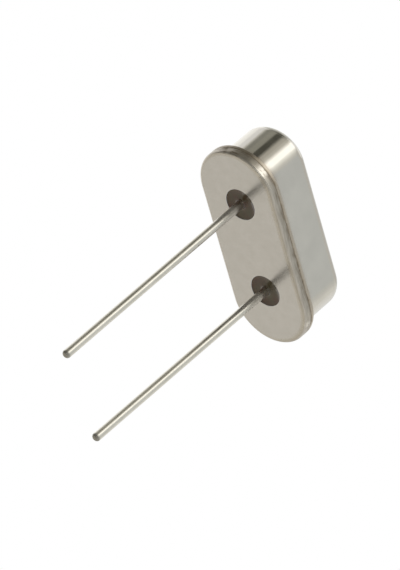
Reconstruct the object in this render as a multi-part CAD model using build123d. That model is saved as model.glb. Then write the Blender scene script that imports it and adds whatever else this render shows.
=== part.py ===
from build123d import *
import os

# Two-lead quartz crystal in a low metal can, in millimetres.
# The origin is the middle of the header's underside, between the leads. The can stands up
# along +Z, the leads run down along -Z, and X runs along the row of the two leads.

# can, drawn from one sheet, with a flat flange round its open edge
can_length = 10.03
can_width = 3.68
can_height = 3.5  # from the header's underside to the can's top
can_wall = 0.2
can_crown = 0.65  # outer rounding between the can's side and its top
can_root = 0.1  # rounding between the can's side and its flange
flange_reach = 0.38  # how far flange and rim stand out past the can's side
flange_height = 0.22
flange_corner = 0.06
seam_corner = 0.05  # rounding of both edges at the weld line

# header, with a rim that the can is welded to and a plinth that stands up inside the can
rim_height = 0.43
rim_corner = 0.13  # rounding of the rim's lower edge
plinth_height = 0.52
plinth_clearance = 0.06  # between the plinth and the can's wall, all round

# leads, and the glass that holds them in the header
lead_pitch = 4.88
lead_diameter = 0.44  # tinned, outside the glass
wire_diameter = 0.43  # bare, inside the glass
lead_length_left = 13.8  # below the header's underside
lead_length_right = 13.52
lead_tip = 0.16  # rounding of the free end
lead_head_diameter = 0.8
lead_head_height = 0.12
glass_diameter = 1.7
glass_recess = 0.05  # from the header's underside up to the glass at the hole's wall
glass_dish = 0.06  # how much further in the glass is halfway to its lead
glass_collar = 0.03  # from the header's underside up to the glass at its lead

# spring clips, welded to the leads' heads
clip_thickness = 0.1
clip_width = 1.2
clip_inboard = 0.45  # from the lead's axis to the foot's inner end
clip_top_clearance = 0.3  # from the clip's top to the inside of the can's top
slot_clearance = 0.05  # round the blank in the clip's slot

# quartz blank, standing on its long edge between the clips, and its two electrodes
blank_thickness = 0.21
blank_end_clearance = 0.815  # from each end of the blank to the inside of the can
blank_top_clearance = 0.2
blank_gap = 0.13  # between the blank's lower edge and the clips' feet
blank_overhang = 0.1  # how far each end of the blank passes its clip
electrode_thickness = 0.01
electrode_end_margin = 1.7  # from the film's main field to the blank's end
electrode_side_margin = 0.2
tab_width = 0.5
tab_end_gap = 0.15  # from the tab's end to the blank's end
dab_length = 0.75
dab_width = 0.85
dab_height = 0.9
dab_corner = 0.25

touch = 0.01  # how near an edge lies to the level or width that it is picked by
sides = {"left": -1, "right": 1}
lead_lengths = {"left": lead_length_left, "right": lead_length_right}
rim_length = can_length + 2 * flange_reach
rim_width = can_width + 2 * flange_reach
hollow_length = can_length - 2 * can_wall
hollow_width = can_width - 2 * can_wall
hollow_top = can_height - can_wall
plinth_top = rim_height + plinth_height
head_top = plinth_top + lead_head_height
foot_top = head_top + clip_thickness
blank_length = hollow_length - 2 * blank_end_clearance
blank_bottom = foot_top + blank_gap
blank_top = hollow_top - blank_top_clearance
blank_middle = (blank_bottom + blank_top) / 2
clip_x = blank_length / 2 - blank_overhang  # outer face of each clip's upright


def rounded_bar(length, width, low, high):
    """A bar with half-round ends, standing from one level to another."""
    return Pos(0, 0, low) * extrude(SlotOverall(length, width), high - low)


def block(x_range, y_range, z_range):
    """A plain block between the given limits."""
    ranges = (x_range, y_range, z_range)
    size = [high - low for low, high in ranges]
    middle = [(high + low) / 2 for low, high in ranges]
    return Pos(*middle) * Box(*size)


def span(side, near, far):
    """The limits between two distances from the middle, on one side of it."""
    return tuple(sorted((side * near, side * far)))


def edges_at(solid, level, width=None):
    """The edges that lie flat at a level, or only those of a bar of one width."""
    flat = solid.edges().filter_by_position(Axis.Z, level - touch, level + touch)
    if width is None:
        return flat
    return [edge for edge in flat if edge.bounding_box().max.Y < width / 2 + touch]


def build_can():
    """The drawn can: one skin with a flat flange round its open edge."""
    flange_top = rim_height + flange_height
    flange = rounded_bar(rim_length, rim_width, rim_height, flange_top)
    flange = fillet(edges_at(flange, rim_height), seam_corner)
    flange = fillet(edges_at(flange, flange_top), flange_corner)
    shell = rounded_bar(can_length, can_width, rim_height + flange_height / 2, can_height)
    shell = fillet(edges_at(shell, can_height), can_crown)
    can = flange + shell
    can = fillet(edges_at(can, flange_top, can_width), can_root)
    hollow = rounded_bar(hollow_length, hollow_width, 0, hollow_top)
    return can - fillet(edges_at(hollow, hollow_top), can_crown - can_wall)


def build_base():
    """The header plate, with a round hole for each glass bead."""
    rim = rounded_bar(rim_length, rim_width, 0, rim_height)
    rim = fillet(edges_at(rim, 0), rim_corner)
    rim = fillet(edges_at(rim, rim_height), seam_corner)
    plinth_length = hollow_length - 2 * plinth_clearance
    plinth_width = hollow_width - 2 * plinth_clearance
    base = rim + rounded_bar(plinth_length, plinth_width, rim_height / 2, plinth_top)
    hole = Cylinder(glass_diameter / 2, 2 * plinth_top)
    for side in sides.values():
        base -= Pos(side * lead_pitch / 2, 0, 0) * hole
    return base


def build_glass(side):
    """One glass bead: dished below, flat on top, with the wire's hole through it."""
    wire = wire_diameter / 2
    wall = glass_diameter / 2
    at_wire = (wire, glass_collar)
    at_middle = ((wire + wall) / 2, glass_recess + glass_dish)
    at_wall = (wall, glass_recess)
    section = Curve() + [
        ThreePointArc(at_wire, at_middle, at_wall),
        Polyline(at_wall, (wall, plinth_top), (wire, plinth_top), at_wire),
    ]
    bead = revolve(Plane.XZ * make_face(section), Axis.Z)
    return Pos(side * lead_pitch / 2, 0, 0) * bead


def build_lead(side, length):
    """One wire lead: tinned below the glass, with a rounded free end and a flat inner head."""
    tinned = lead_diameter / 2
    wire = wire_diameter / 2
    head = lead_head_diameter / 2
    tip_start = (tinned, lead_tip - length)
    tip_end = (tinned - lead_tip, -length)
    inner = [(wire, glass_collar), (wire, plinth_top), (head, plinth_top), (head, head_top)]
    section = Curve() + [
        Polyline(tip_start, (tinned, glass_collar), *inner, (0, head_top), (0, -length), tip_end),
        CenterArc((tinned - lead_tip, lead_tip - length), lead_tip, -90, 90),
    ]
    lead = revolve(Plane.XZ * make_face(section), Axis.Z)
    return Pos(side * lead_pitch / 2, 0, 0) * lead


def build_clip(side):
    """One spring clip: a foot on the lead's head and a forked upright for the blank."""
    half = clip_width / 2
    foot_start = lead_pitch / 2 - clip_inboard
    clip_top = hollow_top - clip_top_clearance
    foot = block(span(side, foot_start, clip_x), (-half, half), (head_top, foot_top))
    upright = block(span(side, clip_x - clip_thickness, clip_x), (-half, half), (head_top, clip_top))
    slot_half = blank_thickness / 2 + electrode_thickness + slot_clearance
    slot_bottom = blank_bottom - slot_clearance
    slot = block(span(side, 0, blank_length), (-slot_half, slot_half), (slot_bottom, can_height))
    return foot + upright - slot


def build_blank():
    """The quartz strip, standing on its long edge."""
    half_length = blank_length / 2
    half_thickness = blank_thickness / 2
    return block((-half_length, half_length), (-half_thickness, half_thickness), (blank_bottom, blank_top))


def build_electrode(face, tab_side):
    """A metal film on one face of the blank, with a tab to one of its ends."""
    near = blank_thickness / 2
    depth = span(face, near, near + electrode_thickness)
    half_length = blank_length / 2 - electrode_end_margin
    field_height = (blank_bottom + electrode_side_margin, blank_top - electrode_side_margin)
    field = block((-half_length, half_length), depth, field_height)
    tab_height = (blank_middle - tab_width / 2, blank_middle + tab_width / 2)
    return field + block(span(tab_side, 0, blank_length / 2 - tab_end_gap), depth, tab_height)


def build_dab(side, neighbours):
    """A dab of conductive adhesive round the blank's end, where it passes its clip."""
    dab = Box(dab_length, dab_width, dab_height)
    dab = fillet(dab.edges(), dab_corner)
    dab = Pos(side * (clip_x - clip_thickness / 2), 0, blank_middle) * dab
    for neighbour in neighbours:
        dab -= neighbour
    return dab


pieces = {"can": build_can(), "base": build_base()}
for name, side in sides.items():
    pieces["glass_seal_" + name] = build_glass(side)
    pieces["lead_" + name] = build_lead(side, lead_lengths[name])
    pieces["support_clip_" + name] = build_clip(side)
pieces["quartz_blank"] = build_blank()
pieces["front_electrode"] = build_electrode(-1, sides["right"])
pieces["back_electrode"] = build_electrode(1, sides["left"])
strip = [pieces["quartz_blank"], pieces["front_electrode"], pieces["back_electrode"]]
for name, side in sides.items():
    pieces["adhesive_dab_" + name] = build_dab(side, strip + [pieces["support_clip_" + name]])

os.makedirs("parts", exist_ok=True)
for name, solid in pieces.items():
    export_step(solid, "parts/" + name + ".step")
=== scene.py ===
import math

import bmesh
import bpy
from mathutils import Matrix, Vector


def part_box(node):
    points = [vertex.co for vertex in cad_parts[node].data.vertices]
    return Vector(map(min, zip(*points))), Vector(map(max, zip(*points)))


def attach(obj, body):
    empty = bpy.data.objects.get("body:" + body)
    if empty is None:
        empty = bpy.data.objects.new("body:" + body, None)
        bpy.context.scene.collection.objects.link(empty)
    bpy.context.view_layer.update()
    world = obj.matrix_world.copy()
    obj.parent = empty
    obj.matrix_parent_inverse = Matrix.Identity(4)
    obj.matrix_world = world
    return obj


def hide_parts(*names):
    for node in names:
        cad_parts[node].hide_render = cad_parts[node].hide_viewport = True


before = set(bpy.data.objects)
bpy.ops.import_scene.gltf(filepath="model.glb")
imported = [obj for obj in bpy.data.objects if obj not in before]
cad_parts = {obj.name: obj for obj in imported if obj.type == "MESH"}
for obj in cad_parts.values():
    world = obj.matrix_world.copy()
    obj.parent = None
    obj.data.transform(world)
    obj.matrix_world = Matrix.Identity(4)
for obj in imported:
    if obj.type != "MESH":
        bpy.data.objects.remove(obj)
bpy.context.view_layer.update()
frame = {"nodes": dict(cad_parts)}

mm = 0.001
touch = 0.002 * mm  # how near a point lies to the place that it is picked by
mergeGap = 0.0004 * mm  # points nearer than this become one
sharpest = math.radians(35)  # edges that turn by more than this stay sharp
scene = bpy.context.scene
scene.view_settings.view_transform = "Standard"

# from below the header and past its left end, through a long lens
view = {
    "lens": 438.0,
    "nearest": 10 * mm,
    "farthest": 20,
    "distance": 333.3 * mm,
    "target": Vector((0.870, 1.708, -2.434)) * mm,
    "forward": Vector((0.46707, 0.63671, 0.61355)),
    "pictureDown": Vector((0.84818, -0.12653, -0.51438)),
}


def placeCamera(plan):
    data = bpy.data.cameras.new("viewCamera")
    data.lens = plan["lens"]
    data.clip_start = plan["nearest"]
    data.clip_end = plan["farthest"]
    viewer = bpy.data.objects.new("viewCamera", data)
    scene.collection.objects.link(viewer)
    back = -plan["forward"].normalized()
    right = back.cross(plan["pictureDown"]).normalized()
    turn = Matrix((right, back.cross(right), back)).transposed()
    viewer.rotation_euler = turn.to_euler()
    viewer.location = plan["target"] + back * plan["distance"]
    scene.camera = viewer


placeCamera(view)
print("camera placed")


def deselectAll():
    if bpy.context.mode != "OBJECT":
        bpy.ops.object.mode_set(mode="OBJECT")
    bpy.ops.object.select_all(action="DESELECT")


def takeUp(piece):
    # makes one piece the only one that operators act on
    deselectAll()
    piece.select_set(True)
    bpy.context.view_layer.objects.active = piece


def selectWhere(piece, kind, test):
    # picks the vertices or edges that pass a test, and nothing else
    modes = {"verts": "VERT", "edges": "EDGE"}
    bpy.ops.mesh.select_mode(type=modes[kind])
    bpy.ops.mesh.select_all(action="DESELECT")
    mesh = bmesh.from_edit_mesh(piece.data)
    for part in getattr(mesh, kind):
        if test(part):
            part.select_set(True)
    mesh.select_flush_mode()
    bmesh.update_edit_mesh(piece.data)


def arc(centre, radius, start, stop, steps, hold=0.0):
    # points along a rounding of an outline, in degrees, with an extra point before and after it
    # that keeps its shading off the flats beside it
    turns = [math.radians(start + (stop - start) * step / steps) for step in range(steps + 1)]
    points = [(centre[0] + radius * math.cos(a), centre[1] + radius * math.sin(a)) for a in turns]
    if hold:
        way = hold if stop > start else -hold
        first, last = turns[0], turns[-1]
        before = (points[0][0] + way * math.sin(first), points[0][1] - way * math.cos(first))
        after = (points[-1][0] - way * math.sin(last), points[-1][1] + way * math.cos(last))
        points = [before, *points, after]
    return points


def drawOutline(name, axis, outline):
    # one point, extruded from place to place along an outline of (reach, height) in front of an axis
    deselectAll()
    reach, height = outline[0]
    bpy.ops.mesh.primitive_plane_add(size=mm, location=(axis, -reach, height))
    piece = bpy.context.active_object
    piece.name = piece.data.name = name
    bpy.ops.object.mode_set(mode="EDIT")
    bpy.ops.mesh.select_mode(type="VERT")
    bpy.ops.mesh.select_all(action="SELECT")
    bpy.ops.mesh.merge(type="CENTER")
    for nextReach, nextHeight in outline[1:]:
        move = (0, reach - nextReach, nextHeight - height)
        bpy.ops.mesh.extrude_vertices_move(TRANSFORM_OT_translate={"value": move})
        reach, height = nextReach, nextHeight
    bpy.ops.mesh.select_all(action="SELECT")
    return piece


def closeShape(piece):
    # caps each open ring, turns the faces outwards and puts the piece's place into its mesh
    bpy.ops.mesh.select_all(action="SELECT")
    bpy.ops.mesh.remove_doubles(threshold=mergeGap)
    mesh = bmesh.from_edit_mesh(piece.data)
    heights = sorted({round(v.co.z / mm, 3) * mm for v in mesh.verts if v.is_boundary})
    for height in heights:
        selectWhere(piece, "verts", lambda v: v.is_boundary and abs(v.co.z - height) < touch)
        bpy.ops.mesh.edge_face_add()
    bpy.ops.mesh.select_all(action="SELECT")
    bpy.ops.mesh.normals_make_consistent(inside=False)
    bpy.ops.object.mode_set(mode="OBJECT")
    bpy.ops.object.transform_apply(location=True, rotation=True, scale=True)
    bpy.ops.object.shade_smooth_by_angle(angle=sharpest)


def sweepRound(name, halfRun, outline, endSteps, runSteps):
    # an outline swept round a bar with half-round ends: turn, run back, turn, run back
    piece = drawOutline(name, halfRun, outline)
    for way in (1, -1):
        bpy.ops.mesh.spin(steps=endSteps, angle=-math.pi, center=(way * halfRun, 0, 0), axis=(0, 0, 1))
        for step in range(runSteps):
            move = (-way * 2 * halfRun / runSteps, 0, 0)
            bpy.ops.mesh.extrude_region_move(TRANSFORM_OT_translate={"value": move})
    closeShape(piece)
    return piece


def turnRound(name, axis, outline, steps):
    # an outline turned once round an upright axis
    piece = drawOutline(name, axis, outline)
    bpy.ops.mesh.spin(steps=steps, angle=-2 * math.pi, center=(axis, 0, 0), axis=(0, 0, 1))
    closeShape(piece)
    return piece


def ruffle(piece, label, size, depth):
    # pushes the surface in by up to a depth, in a cloudy pattern
    pattern = bpy.data.textures.new(label, "CLOUDS")
    pattern.noise_scale = size
    pattern.noise_depth = 2  # layers of ever finer cloud
    takeUp(piece)
    change = piece.modifiers.new(label, "DISPLACE")
    change.texture = pattern
    change.texture_coords = "LOCAL"
    change.mid_level = 1.0
    change.strength = depth
    bpy.ops.object.modifier_apply(modifier=change.name)


def settle(piece, slot, *nodes):
    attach(piece, "root")
    if nodes:
        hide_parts(*nodes)


canLow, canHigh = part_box("can")
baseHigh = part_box("base")[1]
rimHalf = canHigh.y  # half the width of rim and flange
halfRun = canHigh.x - rimHalf  # from the middle to the centre of each round end
seamHeight = canLow.z

# the can, drawn from sheet, with its open edge turned out into a flange
can = {
    "wall": 0.2 * mm,
    "crown": 0.65 * mm,
    "root": 0.1 * mm,
    "reach": 0.38 * mm,  # how far the flange stands out past the can's side
    "flange": 0.22 * mm,
    "flangeCorner": 0.06 * mm,
    "seamCorner": 0.05 * mm,
    "hold": 0.012 * mm,  # from each rounding to the extra point beside it
    "innerSteps": 8,
    "edgeSteps": 5,
    "rootSteps": 6,
    "crownSteps": 16,
    "endSteps": 110,
    "runSteps": 70,
}


def makeCan(plan):
    side = rimHalf - plan["reach"]
    ledge = seamHeight + plan["flange"]
    inside = side - plan["wall"]
    roof = canHigh.z - plan["wall"]
    bend = plan["crown"] - plan["wall"]
    low, high, root, crown = plan["seamCorner"], plan["flangeCorner"], plan["root"], plan["crown"]
    hold, edgeSteps = plan["hold"], plan["edgeSteps"]
    outline = arc((inside - bend, roof - bend), bend, 90, 0, plan["innerSteps"], hold)
    outline += [(inside, seamHeight)]
    outline += arc((rimHalf - low, seamHeight + low), low, -90, 0, edgeSteps, hold)
    outline += arc((rimHalf - high, ledge - high), high, 0, 90, edgeSteps, hold)
    outline += arc((side + root, ledge + root), root, 270, 180, plan["rootSteps"], hold)
    outline += arc((side - crown, canHigh.z - crown), crown, 0, 90, plan["crownSteps"], hold)
    return sweepRound("canShell", halfRun, outline, plan["endSteps"], plan["runSteps"])


canShell = makeCan(can)
settle(canShell, "can_metal", "can")
print("can made")

# the header plate: a rim under the can's flange, a plinth inside the can, two holes for glass
header = {
    "rimCorner": 0.13 * mm,
    "seamCorner": 0.05 * mm,
    "plinthGap": 0.06 * mm,  # between the plinth and the can's wall
    "holeRadius": 0.85 * mm,
    "holeSteps": 128,
    "holeEdge": 0.02 * mm,
    "holeEdgeSteps": 3,
    "hold": 0.012 * mm,
    "cornerSteps": 12,
    "lipSteps": 5,
    "endSteps": 110,
    "runSteps": 70,
}


def makeHeader(plan):
    corner, lip, hold = plan["rimCorner"], plan["seamCorner"], plan["hold"]
    plinth = rimHalf - can["reach"] - can["wall"] - plan["plinthGap"]
    outline = arc((rimHalf - corner, corner), corner, -90, 0, plan["cornerSteps"], hold)
    outline += arc((rimHalf - lip, seamHeight - lip), lip, 0, 90, plan["lipSteps"], hold)
    outline += [(plinth, seamHeight), (plinth, baseHigh.z)]
    return sweepRound("headerPlate", halfRun, outline, plan["endSteps"], plan["runSteps"])


def drillHole(piece, plan, axis):
    deselectAll()
    bpy.ops.mesh.primitive_cylinder_add(vertices=plan["holeSteps"], radius=plan["holeRadius"],
                                        depth=4 * baseHigh.z, location=(axis, 0, 0))
    drill = bpy.context.active_object
    bpy.ops.object.transform_apply(location=True, rotation=False, scale=False)
    takeUp(piece)
    cut = piece.modifiers.new("hole", "BOOLEAN")
    cut.operation = "DIFFERENCE"
    cut.solver = "EXACT"
    cut.object = drill
    bpy.ops.object.modifier_apply(modifier=cut.name)
    bpy.data.objects.remove(drill)


def breakHoleEdges(piece, plan, axes):
    # a small bevel round the lower edge of each hole
    takeUp(piece)
    bpy.ops.object.mode_set(mode="EDIT")

    def onEdge(v):
        off = min(abs(math.hypot(v.co.x - axis, v.co.y) - plan["holeRadius"]) for axis in axes)
        return off < touch and abs(v.co.z) < touch

    selectWhere(piece, "edges", lambda edge: all(onEdge(v) for v in edge.verts))
    bpy.ops.mesh.bevel(offset=plan["holeEdge"], segments=plan["holeEdgeSteps"], affect="EDGES")
    bpy.ops.object.mode_set(mode="OBJECT")
    bpy.ops.object.shade_smooth_by_angle(angle=sharpest)
    flats = piece.modifiers.new("flats", "WEIGHTED_NORMAL")  # keeps the underside's shading flat
    flats.keep_sharp = True
    bpy.ops.object.modifier_apply(modifier=flats.name)


leadAxes = {}
for side in ("left", "right"):
    low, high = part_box("lead_" + side)
    leadAxes[side] = (low.x + high.x) / 2

headerPlate = makeHeader(header)
for axis in leadAxes.values():
    drillHole(headerPlate, header, axis)
breakHoleEdges(headerPlate, header, leadAxes.values())
settle(headerPlate, "base_metal", "base")
print("header made")

# the glass that fills each hole, dished below, with a narrow collar where it wets the wire
glass = {
    "wire": 0.215 * mm,  # radius of the bare wire
    "recess": 0.05 * mm,  # from the header's underside up to the glass at the hole's wall
    "dish": 0.11 * mm,  # the same, at the deepest place
    "collar": 0.03 * mm,  # the same, at the wire
    "collarWidth": 0.07 * mm,
    "outlineSteps": 32,
    "crowding": 0.6,  # below 1, the outline's points stand closer together towards the wire
    "steps": 96,
}


def makeGlass(name, axis, plan):
    wall = header["holeRadius"]
    span = wall - plan["wire"]
    outline = []
    for step in range(plan["outlineSteps"] + 1):
        out = 1 - (step / plan["outlineSteps"]) ** plan["crowding"]
        gap = span * out
        level = plan["dish"] - (plan["dish"] - plan["recess"]) * out ** 3
        level -= (plan["dish"] - plan["collar"]) * math.exp(-gap / plan["collarWidth"])
        outline.append((plan["wire"] + gap, level))
    top = baseHigh.z
    outline += [(plan["wire"], top), (wall, top), outline[0]]
    return turnRound(name, axis, outline, plan["steps"])


for side, axis in leadAxes.items():
    seal = makeGlass("glassSeal" + side.title(), axis, glass)
    settle(seal, "seal_glass", "glass_seal_" + side)
print("glass seals made")

# the wire leads, bare where they pass through the glass, tinned below it
lead = {
    "tinned": 0.22 * mm,  # radius of the tinned wire
    "tip": 0.16 * mm,
    "core": 0.001 * mm,  # radius at which the outline stops short of the middle
    "lean": {"left": (0.04 * mm, -0.027 * mm), "right": (-0.033 * mm, -0.002 * mm)},  # at the free end
    "tipSteps": 12,
    "wallSteps": 40,
    "steps": 72,
}


def makeLead(name, side, plan):
    low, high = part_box("lead_" + side)
    neck = glass["collar"]
    headLow = baseHigh.z
    headReach = (high.x - low.x) / 2
    tip, core, rise = plan["tip"], plan["core"], (neck - low.z) / plan["wallSteps"]
    outline = [(core, low.z)]
    outline += arc((plan["tinned"] - tip, low.z + tip), tip, -90, 0, plan["tipSteps"])
    outline += [(plan["tinned"], low.z + rise * step) for step in range(2, plan["wallSteps"] + 1)]
    outline += [(glass["wire"], neck), (glass["wire"], headLow)]
    outline += [(headReach, headLow), (headReach, high.z), (core, high.z)]
    piece = turnRound(name, leadAxes[side], outline, plan["steps"])
    bpy.ops.object.mode_set(mode="EDIT")
    bpy.ops.mesh.select_all(action="SELECT")
    for way, turnAxis, offset in zip((1, -1), "YX", plan["lean"][side]):
        bpy.ops.transform.rotate(value=-way * offset / low.z, orient_axis=turnAxis,
                                 center_override=(leadAxes[side], 0, 0))
    bpy.ops.object.mode_set(mode="OBJECT")
    return piece


for side in leadAxes:
    wire = makeLead("lead" + side.title(), side, lead)
    settle(wire, "lead_tin", "lead_" + side)
print("leads made")

# the weld: a dark scaly line of squeezed-out metal in the groove between can and header
weld = {
    "radius": 0.046 * mm,
    "inset": 0.047 * mm,  # from the rim's edge in to the bead's middle
    "roughSize": 0.4 * mm,
    "roughDepth": 0.016 * mm,
    "ringSteps": 12,
    "endSteps": 150,
    "runSteps": 110,
}


def makeWeld(plan):
    ring = arc((rimHalf - plan["inset"], seamHeight), plan["radius"], 0, 360, plan["ringSteps"])
    piece = sweepRound("weldBead", halfRun, ring, plan["endSteps"], plan["runSteps"])
    ruffle(piece, "squeeze", plan["roughSize"], plan["roughDepth"])
    return piece


weldBead = makeWeld(weld)
settle(weldBead, "base_metal")
print("weld bead made")


def linear(code):
    # sRGB hex to a linear colour
    parts = [int(code[start:start + 2], 16) / 255 for start in (1, 3, 5)]
    rgb = [part / 12.92 if part <= 0.04045 else ((part + 0.055) / 1.055) ** 2.4 for part in parts]
    return rgb + [1]


def addNode(material, kind, settings=None, values=None, links=None):
    # adds one node; a link's source is a node, for its first output, or one of a node's outputs
    tree = material.node_tree
    node = tree.nodes.new("ShaderNode" + kind)
    for name, value in (settings or {}).items():
        setattr(node, name, value)
    for socket, value in (values or {}).items():
        node.inputs[socket].default_value = value
    for socket, source in (links or {}).items():
        start = source if isinstance(source, bpy.types.NodeSocket) else source.outputs[0]
        tree.links.new(start, node.inputs[socket])
    return node


def newMaterial(name):
    # an empty surface, with its object's own coordinates in millimetres
    material = bpy.data.materials.new(name)
    material.use_nodes = True
    material.node_tree.nodes.clear()
    coordinates = addNode(material, "TexCoord")
    inMillimetres = addNode(material, "VectorMath", {"operation": "SCALE"},
                            {"Scale": 1000}, {0: coordinates.outputs["Object"]})
    return material, inMillimetres


def finishMaterial(material, values, links):
    surface = addNode(material, "BsdfPrincipled", values=values, links=links)
    addNode(material, "OutputMaterial", links={"Surface": surface})
    return material


def followRim(material, place):
    # the nearest point on the rim's line, so that a pattern can run along the edge, then how far
    # the surface lies from the middle line, and its height
    split = addNode(material, "SeparateXYZ", links={0: place})
    spineX = addNode(material, "Clamp", links={0: split},
                     values={"Min": -halfRun / mm, "Max": halfRun / mm})
    onSpine = addNode(material, "CombineXYZ", links={"X": spineX})
    flat = addNode(material, "CombineXYZ", links={"X": split, "Y": split.outputs["Y"]})
    outwards = addNode(material, "VectorMath", {"operation": "SUBTRACT"}, links={0: flat, 1: onSpine})
    away = addNode(material, "VectorMath", {"operation": "LENGTH"}, links={0: outwards})
    heading = addNode(material, "VectorMath", {"operation": "NORMALIZE"}, links={0: outwards})
    toRim = addNode(material, "VectorMath", {"operation": "SCALE"},
                    {"Scale": rimHalf / mm}, {0: heading})
    onRim = addNode(material, "VectorMath", {"operation": "ADD"}, links={0: onSpine, 1: toRim})
    return onRim, away.outputs["Value"], split.outputs["Z"]


def fadeAround(material, place, centre, inner, outer):
    # 1 near a point, falling to 0 further out, in millimetres
    away = addNode(material, "VectorMath", {"operation": "DISTANCE"}, {1: centre}, {0: place})
    return addNode(material, "MapRange", {"interpolation_type": "SMOOTHSTEP"},
                   {"From Min": inner, "From Max": outer, "To Min": 1.0, "To Max": 0.0},
                   {"Value": away.outputs["Value"]})


# what the weld's heat left, and two painted highlights on the rim, each with its place in millimetres,
# then the distances from there to where it begins to fade and where it ends
marks = {
    "heatOnCan": ((-5.39, 0.0, 0.5), 0.5, 1.7),
    "heatOnRim": ((-5.39, -0.05, 0.25), 0.25, 1.15),
    "goldLine": ((-4.5, -1.42, 0.7), 0.35, 0.95),
    # the last two are painted highlights on the rim
    "glintEnd": ((-4.48, -1.8, 0.17), 0.24, 0.5),
    "glintCorner": ((4.11, -2.01, 0.12), 0.06, 0.26),
}


def makeSheetMetal():
    # nickel silver sheet, deep drawn, bright: a clear soft mirror with faint clouding and draw marks
    # that run up the wall, scorched gold and brown next to the weld
    material, place = newMaterial("nickelSilverDrawn")
    onRim, _, height = followRim(material, place)
    clouds = addNode(material, "TexNoise", values={"Scale": 0.9, "Detail": 3, "Roughness": 0.6},
                     links={"Vector": place})
    linesAt = addNode(material, "VectorMath", {"operation": "MULTIPLY"}, {1: (14, 14, 0.4)}, {0: place})
    lines = addNode(material, "TexNoise", values={"Scale": 1, "Detail": 2}, links={"Vector": linesAt})
    # the scorch's colours follow the height above the seam, higher and lower along the rim
    uneven = addNode(material, "TexNoise", values={"Scale": 1.6, "Detail": 4, "Roughness": 0.65},
                     links={"Vector": onRim})
    rise = addNode(material, "Math", {"operation": "MULTIPLY_ADD"}, {1: 0.34, 2: -0.17}, {0: uneven})
    level = addNode(material, "Math", {"operation": "ADD"}, links={0: height, 1: rise})
    heat = addNode(material, "MapRange", links={"Value": level},
                   values={"From Min": 0.42, "From Max": 1.22})
    scorch = addNode(material, "ValToRGB", links={"Fac": heat})
    ramp = scorch.color_ramp
    stops = [(0.0, "#8f8372"), (0.1, "#b8ae9f"), (0.22, "#b7aea0"), (0.33, "#a99d8c"),
             (0.42, "#a89e91"), (0.58, "#bab2a7"), (0.8, "#cac5bd"), (1.0, "#cdc9c1")]
    for spot, code in stops[:-2]:
        ramp.elements.new(spot)
    for stop, (spot, code) in zip(ramp.elements, stops):
        stop.position = spot
        stop.color = linear(code)
    cloudTint = addNode(material, "MapRange", links={"Value": clouds},
                        values={"From Min": 0.3, "From Max": 0.7, "To Min": 0.96, "To Max": 1.03})
    onFlange = addNode(material, "MapRange", {"interpolation_type": "SMOOTHSTEP"},
                       {"From Min": 0.62, "From Max": 0.8, "To Min": 0.5, "To Max": 0.0},
                       {"Value": height})
    heatMark = fadeAround(material, place, *marks["heatOnCan"])
    darkeningShare = addNode(material, "Math", {"operation": "MULTIPLY"}, links={0: heatMark, 1: onFlange})
    browned = addNode(material, "MixRGB", values={"Color2": linear("#5c5142")},
                      links={"Fac": darkeningShare, "Color1": scorch})
    ledge = addNode(material, "Math", {"operation": "COMPARE"}, {1: 0.7, 2: 0.055}, {0: level})
    hotSpot = fadeAround(material, place, *marks["goldLine"])
    goldShare = addNode(material, "Math", {"operation": "MULTIPLY"}, links={0: ledge, 1: hotSpot})
    gilt = addNode(material, "MixRGB", values={"Color2": linear("#a8732f")},
                   links={"Fac": goldShare, "Color1": browned})
    colour = addNode(material, "VectorMath", {"operation": "SCALE"},
                     links={0: gilt, "Scale": cloudTint})
    rough = addNode(material, "MapRange", links={"Value": clouds},
                    values={"From Min": 0.3, "From Max": 0.7, "To Min": 0.1, "To Max": 0.17})
    scale = addNode(material, "MapRange", links={"Value": heat},
                    values={"From Min": 0.0, "From Max": 0.7, "To Min": 0.22, "To Max": 0.0})
    roughAll = addNode(material, "Math", {"operation": "ADD"}, links={0: rough, 1: scale})
    bump = addNode(material, "Bump", values={"Strength": 0.12, "Distance": 0.002 * mm},
                   links={"Height": lines})
    return finishMaterial(material, {"Metallic": 1.0},
                          {"Base Color": colour, "Roughness": roughAll, "Normal": bump})


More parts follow.
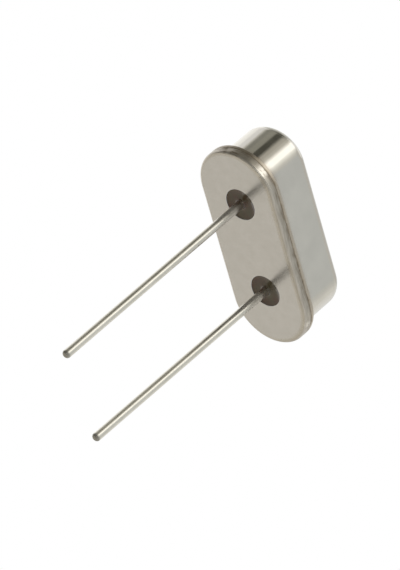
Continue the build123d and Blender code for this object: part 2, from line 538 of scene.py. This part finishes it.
def makePlateMetal():
    # nickel-plated steel, stamped and barrel plated: a slightly warm satin mirror with faint mottling,
    # rubbed along its rim and browned towards the weld, with painted shade along the rim's edge and
    # two painted highlights on the rim
    material, place = newMaterial("nickelPlatedSteel")
    onRim, away, height = followRim(material, place)
    mottle = addNode(material, "TexNoise", values={"Scale": 1.6, "Detail": 5, "Roughness": 0.6},
                     links={"Vector": place})
    # rubbing: a pattern drawn out along the rim and fine across it
    across = addNode(material, "Math", {"operation": "ADD"}, links={0: height, 1: away})
    acrossFine = addNode(material, "Math", {"operation": "MULTIPLY"}, {1: 9.0}, {0: across})
    along = addNode(material, "VectorMath", {"operation": "SCALE"}, {"Scale": 1.3}, {0: onRim})
    split = addNode(material, "SeparateXYZ", links={0: along})
    rubAt = addNode(material, "CombineXYZ",
                    links={"X": split, "Y": split.outputs["Y"], "Z": acrossFine})
    rub = addNode(material, "TexNoise", values={"Scale": 1, "Detail": 3, "Roughness": 0.6},
                  links={"Vector": rubAt})
    # the rim's edge, most along the front, and its side up towards the weld are darkened: partly real
    # brown stain, partly painted shade
    depthways = addNode(material, "SeparateXYZ", links={0: place})
    frontAway = addNode(material, "Math", {"operation": "MULTIPLY_ADD"}, {1: -0.045},
                        {0: depthways.outputs["Y"], 2: away})
    nearEdge = addNode(material, "MapRange", {"interpolation_type": "SMOOTHSTEP"},
                       {"From Min": 1.9, "From Max": 2.2}, {"Value": frontAway})
    upSide = addNode(material, "MapRange", values={"From Min": 0.02, "From Max": 0.42},
                     links={"Value": height})
    edgeShare = addNode(material, "Math", {"operation": "MULTIPLY"}, {1: 0.28}, {0: nearEdge})
    sideShare = addNode(material, "Math", {"operation": "MULTIPLY_ADD"}, {1: 0.4},
                        {0: upSide, 2: edgeShare})
    heatMark = fadeAround(material, place, *marks["heatOnRim"])
    onSide = addNode(material, "Math", {"operation": "MULTIPLY"}, links={0: heatMark, 1: nearEdge})
    burns = addNode(material, "TexNoise", values={"Scale": 2.6, "Detail": 3}, links={"Vector": place})
    burnt = addNode(material, "MapRange", links={"Value": burns},
                    values={"From Min": 0.42, "From Max": 0.6, "To Min": 0.08, "To Max": 0.34})
    darkeningShare = addNode(material, "Math", {"operation": "MULTIPLY_ADD"},
                        links={0: onSide, 1: burnt, 2: sideShare})
    patchy = addNode(material, "TexNoise", values={"Scale": 1.3, "Detail": 4}, links={"Vector": onRim})
    patchShare = addNode(material, "MapRange", links={"Value": patchy},
                         values={"From Min": 0.3, "From Max": 0.7, "To Min": 0.85, "To Max": 1.12})
    rubShare = addNode(material, "MapRange", links={"Value": rub},
                       values={"From Min": 0.3, "From Max": 0.7, "To Min": 0.5, "To Max": 1.5})
    stainAndShade = addNode(material, "Math", {"operation": "MULTIPLY"}, links={0: darkeningShare, 1: patchShare})
    # two painted highlights on the rim: there the stain is left out in specks, and the surface is
    # smoother
    glintEnd = fadeAround(material, place, *marks["glintEnd"])
    glintCorner = fadeAround(material, place, *marks["glintCorner"])
    glintSpots = addNode(material, "Math", {"operation": "MAXIMUM"}, links={0: glintEnd, 1: glintCorner})
    glintSpeckNoise = addNode(material, "TexNoise", values={"Scale": 6.5, "Detail": 4}, links={"Vector": place})
    glintSpecks = addNode(material, "MapRange", links={"Value": glintSpeckNoise},
                      values={"From Min": 0.38, "From Max": 0.5})
    glintShare = addNode(material, "Math", {"operation": "MULTIPLY"}, links={0: glintSpots, 1: glintSpecks})
    kept = addNode(material, "MapRange", links={"Value": glintShare},
                   values={"To Min": 1.0, "To Max": 0.15})
    rubbed = addNode(material, "Math", {"operation": "MULTIPLY"}, links={0: rubShare, 1: kept})
    stainAndShadeAll = addNode(material, "Math", {"operation": "MULTIPLY", "use_clamp": True},
                       links={0: stainAndShade, 1: rubbed})
    mottled = addNode(material, "MapRange", links={"Value": mottle},
                      values={"From Min": 0.3, "From Max": 0.7})
    clean = addNode(material, "MixRGB", links={"Fac": mottled},
                    values={"Color1": linear("#cbc8c6"), "Color2": linear("#d1cecd")})
    straw = addNode(material, "MixRGB", values={"Color2": linear("#cfc9bf")},
                    links={"Fac": nearEdge, "Color1": clean})
    # this brown is real weld stain and also painted shade on the rim's edge and front
    colour = addNode(material, "MixRGB", values={"Color2": linear("#6c6152")},
                     links={"Fac": stainAndShadeAll, "Color1": straw})
    rough = addNode(material, "MapRange", links={"Value": stainAndShadeAll},
                    values={"To Min": 0.21, "To Max": 0.55})
    roughAll = addNode(material, "Math", {"operation": "MULTIPLY_ADD"}, {1: -0.09},
                       {0: glintShare, 2: rough})
    bump = addNode(material, "Bump", values={"Strength": 0.3, "Distance": 0.004 * mm},
                   links={"Height": rub})
    return finishMaterial(material, {"Metallic": 1.0},
                          {"Base Color": colour, "Roughness": roughAll, "Normal": bump})


def makeWeldScale():
    # oxide scale on resistance-welded metal: dull, dark brown, grainy, with rubbed lighter places
    material, place = newMaterial("weldOxideScale")
    grain = addNode(material, "TexNoise", values={"Scale": 6, "Detail": 5, "Roughness": 0.7},
                    links={"Vector": place})
    shade = addNode(material, "MapRange", links={"Value": grain},
                    values={"From Min": 0.35, "From Max": 0.7})
    colour = addNode(material, "MixRGB", links={"Fac": shade},
                     values={"Color1": linear("#63584c"), "Color2": linear("#9f927e")})
    bump = addNode(material, "Bump", values={"Strength": 0.6, "Distance": 0.01 * mm},
                   links={"Height": grain})
    return finishMaterial(material, {"Metallic": 0.6, "Roughness": 0.5},
                          {"Base Color": colour, "Normal": bump})


def makeSealGlass():
    # barium silicate sealing glass, fused in place: dark brown, nearly opaque, smooth, with tiny
    # bubbles
    material, place = newMaterial("sealingGlassFused")
    swirl = addNode(material, "TexNoise", values={"Scale": 1.3, "Detail": 5, "Distortion": 0.6},
                    links={"Vector": place})
    shade = addNode(material, "MapRange", links={"Value": swirl},
                    values={"From Min": 0.35, "From Max": 0.68})
    colour = addNode(material, "MixRGB", links={"Fac": shade},
                     values={"Color1": linear("#48291b"), "Color2": linear("#433c25")})
    bubbles = addNode(material, "TexVoronoi", values={"Scale": 9.0}, links={"Vector": place})
    pits = addNode(material, "MapRange", links={"Value": bubbles},
                   values={"From Min": 0.06, "From Max": 0.16})
    bump = addNode(material, "Bump", values={"Strength": 0.2, "Distance": 0.006 * mm},
                   links={"Height": pits})
    return finishMaterial(material, {"Roughness": 0.14, "IOR": 1.58},
                          {"Base Color": colour, "Normal": bump})


def makeTinnedWire(name, tipHeight):
    # drawn wire, hot tinned: bright and slightly creamy, with fine die lines and small runs along it,
    # and a duller grey tip where it was cut before it was tinned
    material, place = newMaterial(name)
    linesAt = addNode(material, "VectorMath", {"operation": "MULTIPLY"}, {1: (16, 16, 0.5)}, {0: place})
    lines = addNode(material, "TexNoise", values={"Scale": 1, "Detail": 3, "Roughness": 0.6},
                    links={"Vector": linesAt})
    runs = addNode(material, "TexNoise", values={"Scale": 1.1, "Detail": 4, "Roughness": 0.6},
                   links={"Vector": place})
    shade = addNode(material, "MapRange", links={"Value": runs},
                    values={"From Min": 0.3, "From Max": 0.7})
    colour = addNode(material, "MixRGB", links={"Fac": shade},
                     values={"Color1": linear("#d2cec4"), "Color2": linear("#dedad1")})
    split = addNode(material, "SeparateXYZ", links={0: place})
    cutShare = addNode(material, "MapRange", {"interpolation_type": "SMOOTHSTEP"},
                       {"From Min": tipHeight + 0.06, "From Max": tipHeight + 0.2,
                        "To Min": 1.0, "To Max": 0.0},
                       {"Value": split.outputs["Z"]})
    cutColour = addNode(material, "MixRGB", values={"Color2": linear("#98958d")},
                        links={"Fac": cutShare, "Color1": colour})
    rough = addNode(material, "MapRange", links={"Value": runs},
                    values={"From Min": 0.3, "From Max": 0.7, "To Min": 0.24, "To Max": 0.34})
    roughAll = addNode(material, "Math", {"operation": "MULTIPLY_ADD"}, {1: 0.16},
                       {0: cutShare, 2: rough})
    bump = addNode(material, "Bump", values={"Strength": 0.08, "Distance": 0.004 * mm},
                   links={"Height": lines})
    return finishMaterial(material, {"Metallic": 1.0},
                          {"Base Color": cutColour, "Roughness": roughAll, "Normal": bump})


def makeLappedQuartz():
    # synthetic quartz, sawn and lapped: clear, with a fine even frosting and a few cloudy places
    material, place = newMaterial("quartzLapped")
    frost = addNode(material, "TexNoise", values={"Scale": 18, "Detail": 3}, links={"Vector": place})
    haze = addNode(material, "TexNoise", values={"Scale": 0.8, "Detail": 4}, links={"Vector": place})
    colour = addNode(material, "MixRGB", links={"Fac": haze},
                     values={"Color1": linear("#f4f6f4"), "Color2": linear("#e6eae8")})
    rough = addNode(material, "MapRange", values={"To Min": 0.22, "To Max": 0.4}, links={"Value": haze})
    bump = addNode(material, "Bump", values={"Strength": 0.3, "Distance": 0.003 * mm},
                   links={"Height": frost})
    return finishMaterial(material, {"IOR": 1.544, "Transmission Weight": 1.0},
                          {"Base Color": colour, "Roughness": rough, "Normal": bump})


def makeSilverFilm():
    # silver evaporated on lapped quartz: a pale satin mirror that shows the frosting under it,
    # with a faint yellow tarnish
    material, place = newMaterial("silverEvaporated")
    frost = addNode(material, "TexNoise", values={"Scale": 18, "Detail": 3}, links={"Vector": place})
    tarnish = addNode(material, "TexNoise", values={"Scale": 0.7, "Detail": 5}, links={"Vector": place})
    shade = addNode(material, "MapRange", links={"Value": tarnish},
                    values={"From Min": 0.4, "From Max": 0.7})
    colour = addNode(material, "MixRGB", links={"Fac": shade},
                     values={"Color1": linear("#e8e6e1"), "Color2": linear("#ddd5c2")})
    rough = addNode(material, "MapRange", values={"To Min": 0.2, "To Max": 0.34}, links={"Value": shade})
    bump = addNode(material, "Bump", values={"Strength": 0.2, "Distance": 0.003 * mm},
                   links={"Height": frost})
    return finishMaterial(material, {"Metallic": 1.0},
                          {"Base Color": colour, "Roughness": rough, "Normal": bump})


def makeRolledStrip():
    # nickel silver strip, rolled hard for springs: satin, with fine rolling lines along X
    material, place = newMaterial("nickelSilverRolled")
    linesAt = addNode(material, "VectorMath", {"operation": "MULTIPLY"},
                      {1: (1.2, 22, 22)}, {0: place})
    lines = addNode(material, "TexNoise", values={"Scale": 1, "Detail": 3}, links={"Vector": linesAt})
    shade = addNode(material, "MapRange", links={"Value": lines},
                    values={"From Min": 0.35, "From Max": 0.65})
    colour = addNode(material, "MixRGB", links={"Fac": shade},
                     values={"Color1": linear("#b3ac9c"), "Color2": linear("#c6c0b2")})
    rough = addNode(material, "MapRange", links={"Value": shade},
                    values={"To Min": 0.24, "To Max": 0.36})
    bump = addNode(material, "Bump", values={"Strength": 0.25, "Distance": 0.003 * mm},
                   links={"Height": lines})
    return finishMaterial(material, {"Metallic": 1.0},
                          {"Base Color": colour, "Roughness": rough, "Normal": bump})


def makeSilverPaste():
    # epoxy filled with silver flakes, cured in place: dull pale grey, grainy, with glints from
    # single flakes
    material, place = newMaterial("silverEpoxyCured")
    flakes = addNode(material, "TexVoronoi", values={"Scale": 22}, links={"Vector": place})
    lumps = addNode(material, "TexNoise", values={"Scale": 4, "Detail": 5}, links={"Vector": place})
    flakeColour = addNode(material, "SeparateColor", links={0: flakes.outputs["Color"]})
    colour = addNode(material, "MixRGB", links={"Fac": flakeColour},
                     values={"Color1": linear("#96938b"), "Color2": linear("#bfbcb3")})
    rough = addNode(material, "MapRange", links={"Value": flakeColour},
                    values={"To Min": 0.35, "To Max": 0.7})
    bump = addNode(material, "Bump", values={"Strength": 0.5, "Distance": 0.01 * mm},
                   links={"Height": lumps})
    return finishMaterial(material, {"Metallic": 0.75},
                          {"Base Color": colour, "Roughness": rough, "Normal": bump})


def dress(piece, material):
    piece.data.materials.clear()
    piece.data.materials.append(material)


dress(canShell, makeSheetMetal())
dress(headerPlate, makePlateMetal())
dress(weldBead, makeWeldScale())
sealGlass = makeSealGlass()
for side in leadAxes:
    ending = side.title()
    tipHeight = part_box("lead_" + side)[0].z / mm
    dress(bpy.data.objects["glassSeal" + ending], sealGlass)
    dress(bpy.data.objects["lead" + ending], makeTinnedWire("tinnedWire" + ending, tipHeight))

# what the can hides keeps its CAD shape
nodes = frame["nodes"]
nodes["quartz_blank"].material_slots[0].material = makeLappedQuartz()
silverFilm, rolledStrip, silverPaste = makeSilverFilm(), makeRolledStrip(), makeSilverPaste()
for face in ("front", "back"):
    nodes[face + "_electrode"].material_slots[0].material = silverFilm
for side in leadAxes:
    nodes["support_clip_" + side].material_slots[0].material = rolledStrip
    nodes["adhesive_dab_" + side].material_slots[0].material = silverPaste
print("materials made")

# the studio: a white surround, with cards of grey paper bent round the part
# (azimuths of a card's two ends, its lowest and highest angle, all in degrees, then its tone and tint)
studio = {
    "reach": 150 * mm,  # from the part to the cards
    "cardStep": 4,  # degrees to each of a card's flats
    "floorSize": 6,
    "floorDrop": 250 * mm,  # low enough that the view from below passes over it
    "cards": [
        (20, 66, -12, 70, 0.86, (1.0, 1.0, 0.98)),
        (66, 115, -12, 50, 1.22, (1.0, 1.0, 0.98)),
        (66, 115, 50, 70, 0.8, (1.0, 1.0, 0.96)),
        (115, 136, 50, 70, 0.6, (1.0, 1.0, 0.93)),
        (136, 142, -12, 50, 0.72, (1.0, 0.99, 0.92)),
        (142, 146, -12, 50, 0.42, (1.0, 0.99, 0.9)),
        (146, 158, -12, 50, 0.31, (1.0, 0.99, 0.88)),
        (158, 177, -12, 50, 0.36, (1.0, 0.99, 0.86)),
        (177, 196, -12, 50, 0.1, (1.0, 0.99, 0.82)),
        (196, 201, -12, 50, 0.3, (1.0, 0.98, 0.86)),
        (201, 212, -12, 50, 0.56, (1.0, 0.97, 0.86)),
        (212, 220, -26, 50, 0.68, (1.0, 0.98, 0.88)),
        (220, 224, -26, 50, 0.95, (1.0, 0.98, 0.92)),
        (224, 228, -26, 50, 1.35, (1.0, 0.99, 0.94)),
        (228, 247, -26, 50, 1.8, (1.0, 1.0, 0.97)),
        (247, 252, -12, 50, 1.3, (1.0, 1.0, 0.95)),
        (252, 257, -12, 50, 1.08, (1.0, 1.0, 0.95)),
        (257, 263, -12, 50, 0.86, (1.0, 1.0, 0.95)),
        (263, 269, -12, 50, 0.75, (1.0, 1.01, 0.97)),
        (269, 312, -12, 50, 0.69, (1.0, 1.035, 1.03)),
        (312, 322, -12, 50, 0.73, (1.0, 1.02, 0.98)),
        (322, 332, -12, 50, 0.79, (1.0, 1.0, 0.97)),
        (332, 350, -12, 50, 0.88, (1.0, 1.0, 0.95)),
        (350, 380, -12, 50, 0.94, (1.0, 1.0, 0.97)),
        (136, 162, 50, 70, 0.32, (1.0, 0.99, 0.9)),
        (162, 188, 50, 70, 0.13, (1.0, 0.99, 0.85)),
        (188, 206, 50, 70, 0.46, (1.0, 0.98, 0.88)),
        (206, 216, 50, 70, 0.66, (1.0, 0.98, 0.88)),
        (216, 224, 50, 70, 1.15, (1.0, 0.98, 0.92)),
        (224, 252, 50, 70, 1.85, (1.0, 1.0, 0.98)),
        (252, 263, 50, 70, 1.05, (1.0, 1.0, 0.96)),
        (263, 300, 50, 70, 0.7, (1.0, 0.99, 0.94)),
        (300, 380, 50, 70, 0.68, (1.0, 0.99, 0.95)),
        (66, 120, 70, 84, 0.76, (1.0, 1.0, 0.96)),
        (120, 190, 70, 84, 0.58, (1.0, 1.0, 0.95)),
        (190, 215, 70, 84, 1.2, (1.0, 1.0, 0.97)),
        (215, 265, 70, 84, 1.6, (1.0, 1.0, 0.99)),
        (265, 310, 70, 84, 0.9, (1.0, 1.0, 0.97)),
        (310, 426, 70, 84, 1.15, (1.0, 1.0, 0.98)),
        (20, 50, -62, -12, 0.725, (1.0, 0.96, 0.84)),
        (50, 70, -62, -26, 0.69, (1.0, 0.96, 0.84)),
        (50, 70, -26, -12, 1.3, (1.0, 0.99, 0.93)),
        (70, 105, -62, -12, 0.725, (1.0, 0.96, 0.84)),
        (105, 212, -62, -12, 0.22, (1.0, 1.0, 0.95)),
        (212, 222, -62, -26, 0.3, (1.0, 1.0, 0.95)),
        (222, 247, -46, -26, 0.3, (1.0, 1.0, 0.95)),
        (222, 247, -77, -46, 1.5, (1.0, 1.0, 0.96)),
        (247, 269, -62, -12, 0.46, (1.0, 1.0, 0.95)),
        (269, 294, -62, -12, 0.64, (1.0, 1.0, 0.95)),
        (294, 320, -62, -12, 0.85, (1.0, 1.0, 0.97)),
    ],
}


def bendCard(name, start, stop, lowest, highest, tone, tint):
    # an upright edge turned part of the way round the part
    reach = studio["reach"]
    low, high = [reach * math.tan(math.radians(angle)) for angle in (lowest, highest)]
    deselectAll()
    turn = math.radians(start)
    corner = Vector((math.cos(turn), math.sin(turn), 0)) * reach
    bpy.ops.mesh.primitive_plane_add(size=mm, location=(corner.x, corner.y, low))
    card = bpy.context.active_object
    card.name = name
    bpy.ops.object.mode_set(mode="EDIT")
    bpy.ops.mesh.select_mode(type="VERT")
    bpy.ops.mesh.select_all(action="SELECT")
    bpy.ops.mesh.merge(type="CENTER")
    bpy.ops.mesh.extrude_vertices_move(TRANSFORM_OT_translate={"value": (0, 0, high - low)})
    bpy.ops.mesh.select_all(action="SELECT")
    steps = max(2, int((stop - start) / studio["cardStep"]))
    bpy.ops.mesh.spin(steps=steps, angle=-math.radians(stop - start), center=(0, 0, 0), axis=(0, 0, 1))
    bpy.ops.object.mode_set(mode="OBJECT")
    bpy.ops.object.transform_apply(location=True, rotation=True, scale=True)
    material = bpy.data.materials.new(name)
    material.use_nodes = True
    material.node_tree.nodes.clear()
    paper = addNode(material, "Emission", values={"Color": (*tint, 1), "Strength": tone})
    addNode(material, "OutputMaterial", links={"Surface": paper})
    card.data.materials.append(material)
    card.visible_camera = False


for number, card in enumerate(studio["cards"]):
    bendCard("greyCard" + str(number), *card)

sky = bpy.data.worlds.new("studioWhite")
scene.world = sky
sky.use_nodes = True
sky.node_tree.nodes["Background"].inputs["Color"].default_value = (1, 1, 1, 1)

deselectAll()
bpy.ops.mesh.primitive_plane_add(size=studio["floorSize"], location=(0, 0, -studio["floorDrop"]))
floor = bpy.context.active_object
floor.name = "floor"
floorPaint = newMaterial("floorPaint")[0]
dress(floor, finishMaterial(floorPaint, {"Base Color": linear("#e6e6e4"), "Roughness": 0.7}, {}))
print("studio made")
